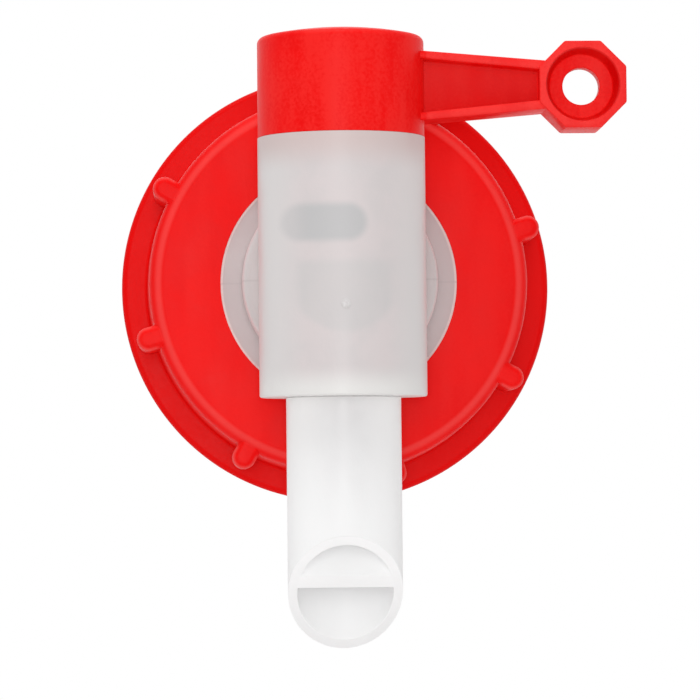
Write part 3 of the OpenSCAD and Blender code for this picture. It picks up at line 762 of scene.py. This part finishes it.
def white_plastic():
    """Whiter than the barrel; painted shade darkens its top under the barrel, and painted light whitens its
    sides, its lower part, the slanted cut and the channels.
    """
    finish, tree, shader, place = new_finish("white_plastic", Specular_IOR_Level=0.3)
    x, y, z = apart(tree, place)
    cloud = grain(tree, place, 6.0, 2.0)
    fine = grain(tree, place, 0.6, 2.0)
    side = across(tree, off(tree, x, 0), 0.5, 9.2)
    radius = distance(tree, x, past(tree, y, BARREL_Y))
    cut = ringed(tree, radius, CHANNEL_R, CHANNEL_R + 0.2, SPOUT_R - 0.2, SPOUT_R - 0.02)
    colour = layered(
        # painted shade at the top's middle, painted light at the sides
        tree, blended(tree, side, WHITE_TOP, WHITE_TOP_SIDES),
        # painted light: whiter low down
        (across(tree, z, -20, -42), blended(tree, side, WHITE_LOW, WHITE_LOW_SIDES)),
        (ranged(tree, cloud, NOISE_LOW, NOISE_HIGH, 0.0, 0.2), WHITE_CLOUD),
        # painted light on the slanted cut, less toward the tip
        (cut, blended(tree, across(tree, z, -46, -57), WHITE_CUT_HIGH, WHITE_CUT_LOW)),
        # painted light inside the channels, against their shade
        (across(tree, radius, CHANNEL_R + 0.1, CHANNEL_R),
         blended(tree, side, WHITE_CHANNEL, WHITE_CHANNEL_SIDES)),
    )
    tree.links.new(colour, shader.inputs["Base Color"])
    tree.links.new(ranged(tree, cloud, NOISE_LOW, NOISE_HIGH, 0.34, 0.44), shader.inputs["Roughness"])
    bumped(tree, shader, reckon(tree, "ADD", fine, cloud), 0.01)
    return finish


def rubber(name, dark, light):
    """Matte and finely speckled."""
    finish, tree, shader, place = new_finish(name, Specular_IOR_Level=0.3)
    speck = grain(tree, place, 0.35, 4.0)
    cloud = grain(tree, place, 5.0, 2.0)
    colour = blended(tree, ranged(tree, reckon(tree, "ADD", speck, cloud), 0.7, 1.3), dark, light)
    tree.links.new(colour, shader.inputs["Base Color"])
    tree.links.new(ranged(tree, speck, NOISE_LOW, NOISE_HIGH, 0.62, 0.8), shader.inputs["Roughness"])
    bumped(tree, shader, speck, 0.02)
    return finish


# Stage

def make_camera():
    """A long lens a little to the left of the tap and below it, as in the photograph."""
    target = Vector((1.104, -32.1, -11.729)) * MM
    azimuth, elevation, roll = math.radians(-2.316), math.radians(-2.153), math.radians(0.57)
    far, focal_pixels, frame_pixels = 0.59558, 3700, 700
    away = Vector((math.sin(azimuth) * math.cos(elevation), -math.cos(azimuth) * math.cos(elevation),
                   math.sin(elevation)))
    right = (-away).cross(Vector((0, 0, 1))).normalized()
    up = right.cross(-away)
    side = right * math.cos(roll) - up * math.sin(roll)
    top = right * math.sin(roll) + up * math.cos(roll)
    lens = bpy.data.cameras.new("camera")
    lens.sensor_width = 36
    lens.lens = lens.sensor_width * focal_pixels / frame_pixels
    lens.clip_start, lens.clip_end = 0.05, 20
    camera = bpy.data.objects.new("camera", lens)
    bpy.context.scene.collection.objects.link(camera)
    place = Matrix((side, top, away)).transposed().to_4x4()
    place.translation = target + away * far
    camera.matrix_world = place
    bpy.context.scene.camera = camera


def make_floor():
    mesh = bpy.data.meshes.new("floor")
    work = bmesh.new()
    bmesh.ops.create_grid(work, x_segments=2, y_segments=2, size=0.8)
    work.to_mesh(mesh)
    work.free()
    mesh.transform(Matrix.Translation((0, 0.02, -0.12)))
    floor = bpy.data.objects.new("floor", mesh)
    bpy.context.scene.collection.objects.link(floor)
    finish, tree, shader, place = new_finish("pale_floor", Roughness=0.9, Specular_IOR_Level=0.0)
    speck = grain(tree, place, 4.0, 2.0)
    tree.links.new(blended(tree, speck, FLOOR_DARK, FLOOR_LIGHT), shader.inputs["Base Color"])
    mesh.materials.append(finish)


def make_world():
    """White to the camera and in reflections; as a light it is softer, and weaker from the right."""
    world = bpy.data.worlds.new("studio")
    bpy.context.scene.world = world
    world.use_nodes = True
    tree = world.node_tree
    ground = tree.nodes["Background"]
    ground.inputs["Color"].default_value = (1, 1, 1, 1)
    rays = add(tree, "ShaderNodeLightPath").outputs
    seen = reckon(tree, "MAXIMUM", rays["Is Camera Ray"],
                  reckon(tree, "MAXIMUM", rays["Is Glossy Ray"], rays["Is Transmission Ray"]))
    towards = apart(tree, add(tree, "ShaderNodeTexCoord").outputs["Generated"])
    light = add(tree, "ShaderNodeMapRange", Value=towards["X"], From_Min=-0.1, To_Min=0.575, To_Max=0.53)
    strength = add(tree, "ShaderNodeMapRange", Value=seen, To_Min=light.outputs[0])
    tree.links.new(strength.outputs[0], ground.inputs["Strength"])


def make_lamp(name, place, size, power):
    """A round soft lamp aimed at the middle of the tap."""
    lamp = bpy.data.lights.new(name, "AREA")
    lamp.shape = "DISK"
    lamp.size = size
    lamp.energy = power
    obj = bpy.data.objects.new(name, lamp)
    bpy.context.scene.collection.objects.link(obj)
    obj.location = place
    aim = Vector((0, BARREL_Y * MM, -0.005)) - Vector(place)
    obj.rotation_euler = aim.to_track_quat("-Z", "Y").to_euler()


TURNING, LUGS, THREAD = turning_tree(), lug_tree(), thread_tree()

red = red_plastic()
natural = natural_plastic()
white = white_plastic()
make_cap(red)
make_handle(red)
make_body(natural)
make_spout(white)
for node, finish in {
    "swivel_ring": natural,
    "valve_plug": white,
    "cap_gasket": rubber("grey_rubber", GREY_DARK, GREY_LIGHT),
    "upper_o_ring": rubber("pale_rubber", PALE_DARK, PALE_LIGHT),
    "lower_o_ring": bpy.data.materials["pale_rubber"],
}.items():
    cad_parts[node].material_slots[0].material = finish

make_camera()
make_floor()
make_world()
make_lamp("key", (-0.13, -1.3, 0.24), 0.6, 1.95)
make_lamp("low", (-0.05, -1.1, -0.03), 0.16, 1.35)
make_lamp("overhead", (-0.1, -0.3, 1.1), 0.9, 5.2)
bpy.context.scene.view_settings.view_transform = "Standard"
